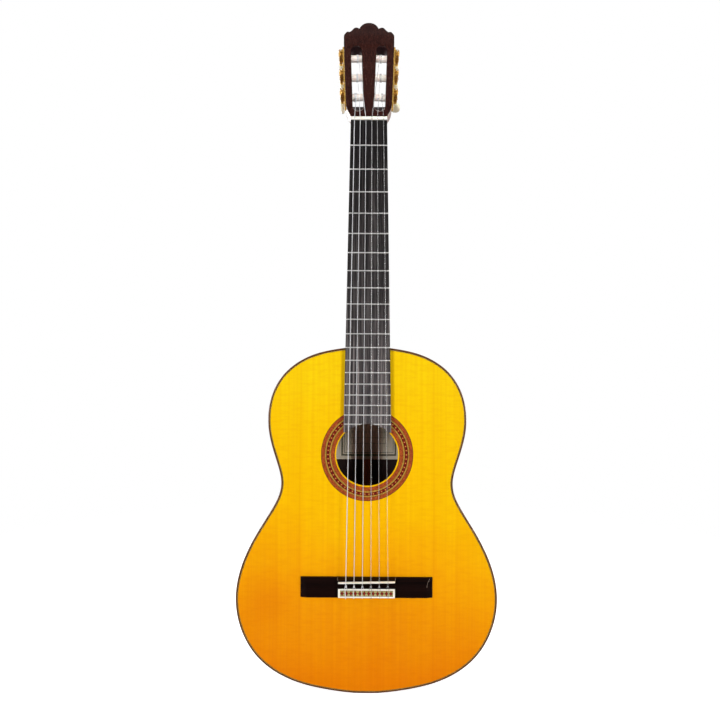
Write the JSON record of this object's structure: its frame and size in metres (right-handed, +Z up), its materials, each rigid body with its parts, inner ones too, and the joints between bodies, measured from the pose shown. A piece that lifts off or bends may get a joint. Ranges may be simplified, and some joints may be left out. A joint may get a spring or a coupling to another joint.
{
  "type": "classical guitar",
  "caption": "Six string classical guitar with a domed hollow body, mosaic rosette, tie block bridge, tilted slotted headstock and worm geared tuners that turn.",
  "frame": {"origin": "centre of the flat outer face of the end graft, at the tail of the body, mid way between the front and back bindings", "axes": "+Z up the neck from the tail, -Y out of the soundboard towards the player's audience, +X to the treble side, which is on the right seen from the front"},
  "size_m": [0.3676, 0.11, 0.9788],
  "materials": {
    "spruce_top": "high gloss lacquer over honey spruce",
    "rosewood": "high gloss lacquer, dark brown with streaks",
    "rosewood_veneer": "gloss lacquer, dark red brown",
    "bridge_rosewood": "satin, near black",
    "binding_wood": "gloss lacquer",
    "cedar_neck": "gloss lacquer, mid brown",
    "block_wood": "bare",
    "brace_spruce": "bare",
    "ebony": "satin, grey black",
    "bone": "polished bone",
    "mosaic": "stained wood mosaic under lacquer",
    "label_paper": "matte cream paper",
    "nickel_silver": "polished",
    "nylon": "clear white nylon",
    "wound_bass": "silver plated winding",
    "gold_plate": "polished gold colour",
    "roller_plastic": "cream sleeve",
    "worm_gold": "polished gold colour with cream button"
  },
  "bodies": {
    "guitar": {"back": "rosewood", "back_binding": "binding_wood", "back_bracing": "brace_spruce", "bridge": "bridge_rosewood", "end_graft": "binding_wood", "fingerboard": "ebony", "fret_01": "nickel_silver", "fret_02": "nickel_silver", "fret_03": "nickel_silver", "fret_04": "nickel_silver", "fret_05": "nickel_silver", "fret_06": "nickel_silver", "fret_07": "nickel_silver", "fret_08": "nickel_silver", "fret_09": "nickel_silver", "fret_10": "nickel_silver", "fret_11": "nickel_silver", "fret_12": "nickel_silver", "fret_13": "nickel_silver", "fret_14": "nickel_silver", "fret_15": "nickel_silver", "fret_16": "nickel_silver", "fret_17": "nickel_silver", "fret_18": "nickel_silver", "fret_19_bass": "nickel_silver", "fret_19_treble": "nickel_silver", "headstock_veneer": "rosewood_veneer", "heel_cap": "rosewood", "label": "label_paper", "neck": "cedar_neck", "nut": "bone", "rib_bass": "rosewood", "rib_treble": "rosewood", "rosette": "mosaic", "saddle": "bone", "side_plate_bass": "gold_plate", "side_plate_treble": "gold_plate", "soundboard": "spruce_top", "string_1": "nylon", "string_2": "nylon", "string_3": "nylon", "string_4": "wound_bass", "string_5": "wound_bass", "string_6": "wound_bass", "tail_block": "block_wood", "tie_block_inlay": "mosaic", "top_binding": "binding_wood", "top_bracing": "brace_spruce"},
    "worm_1": {"worm_1": "worm_gold"},
    "roller_1": {"roller_1": "roller_plastic"},
    "worm_2": {"worm_2": "worm_gold"},
    "roller_2": {"roller_2": "roller_plastic"},
    "worm_3": {"worm_3": "worm_gold"},
    "roller_3": {"roller_3": "roller_plastic"},
    "worm_4": {"worm_4": "worm_gold"},
    "roller_4": {"roller_4": "roller_plastic"},
    "worm_5": {"worm_5": "worm_gold"},
    "roller_5": {"roller_5": "roller_plastic"},
    "worm_6": {"worm_6": "worm_gold"},
    "roller_6": {"roller_6": "roller_plastic"}
  },
  "joints": [
    {"name": "worm_1_turn", "type": "hinge", "parent": "guitar", "child": "worm_1", "pos_m": [0.03958, -0.02894, 0.86068], "axis": [0, 0.9659, -0.2588], "continuous": true},
    {"name": "roller_1_turn", "type": "hinge", "parent": "guitar", "child": "roller_1", "pos_m": [0.03403, -0.03134, 0.85172], "axis": [0.9991, -0.0109, -0.0405], "continuous": true},
    {"name": "worm_2_turn", "type": "hinge", "parent": "guitar", "child": "worm_2", "pos_m": [0.04104, -0.01989, 0.89446], "axis": [0, 0.9659, -0.2588], "continuous": true},
    {"name": "roller_2_turn", "type": "hinge", "parent": "guitar", "child": "roller_2", "pos_m": [0.0355, -0.02229, 0.8855], "axis": [0.9991, -0.0109, -0.0405], "continuous": true},
    {"name": "worm_3_turn", "type": "hinge", "parent": "guitar", "child": "worm_3", "pos_m": [0.04251, -0.01084, 0.92824], "axis": [0, 0.9659, -0.2588], "continuous": true},
    {"name": "roller_3_turn", "type": "hinge", "parent": "guitar", "child": "roller_3", "pos_m": [0.03697, -0.01324, 0.91928], "axis": [0.9991, -0.0109, -0.0405], "continuous": true},
    {"name": "worm_4_turn", "type": "hinge", "parent": "guitar", "child": "worm_4", "pos_m": [-0.04251, -0.01084, 0.92824], "axis": [0, 0.9659, -0.2588], "continuous": true},
    {"name": "roller_4_turn", "type": "hinge", "parent": "guitar", "child": "roller_4", "pos_m": [-0.03697, -0.01324, 0.91928], "axis": [0.9991, 0.0109, 0.0405], "continuous": true},
    {"name": "worm_5_turn", "type": "hinge", "parent": "guitar", "child": "worm_5", "pos_m": [-0.04104, -0.01989, 0.89446], "axis": [0, 0.9659, -0.2588], "continuous": true},
    {"name": "roller_5_turn", "type": "hinge", "parent": "guitar", "child": "roller_5", "pos_m": [-0.0355, -0.02229, 0.8855], "axis": [0.9991, 0.0109, 0.0405], "continuous": true},
    {"name": "worm_6_turn", "type": "hinge", "parent": "guitar", "child": "worm_6", "pos_m": [-0.03958, -0.02894, 0.86068], "axis": [0, 0.9659, -0.2588], "continuous": true},
    {"name": "roller_6_turn", "type": "hinge", "parent": "guitar", "child": "roller_6", "pos_m": [-0.03403, -0.03134, 0.85172], "axis": [0.9991, 0.0109, 0.0405], "continuous": true}
  ],
  "couplings": [
    {"joint": "roller_1_turn", "follows": "worm_1_turn", "ratio": 0.071429},
    {"joint": "roller_2_turn", "follows": "worm_2_turn", "ratio": 0.071429},
    {"joint": "roller_3_turn", "follows": "worm_3_turn", "ratio": 0.071429},
    {"joint": "roller_4_turn", "follows": "worm_4_turn", "ratio": 0.071429},
    {"joint": "roller_5_turn", "follows": "worm_5_turn", "ratio": 0.071429},
    {"joint": "roller_6_turn", "follows": "worm_6_turn", "ratio": 0.071429}
  ]
}
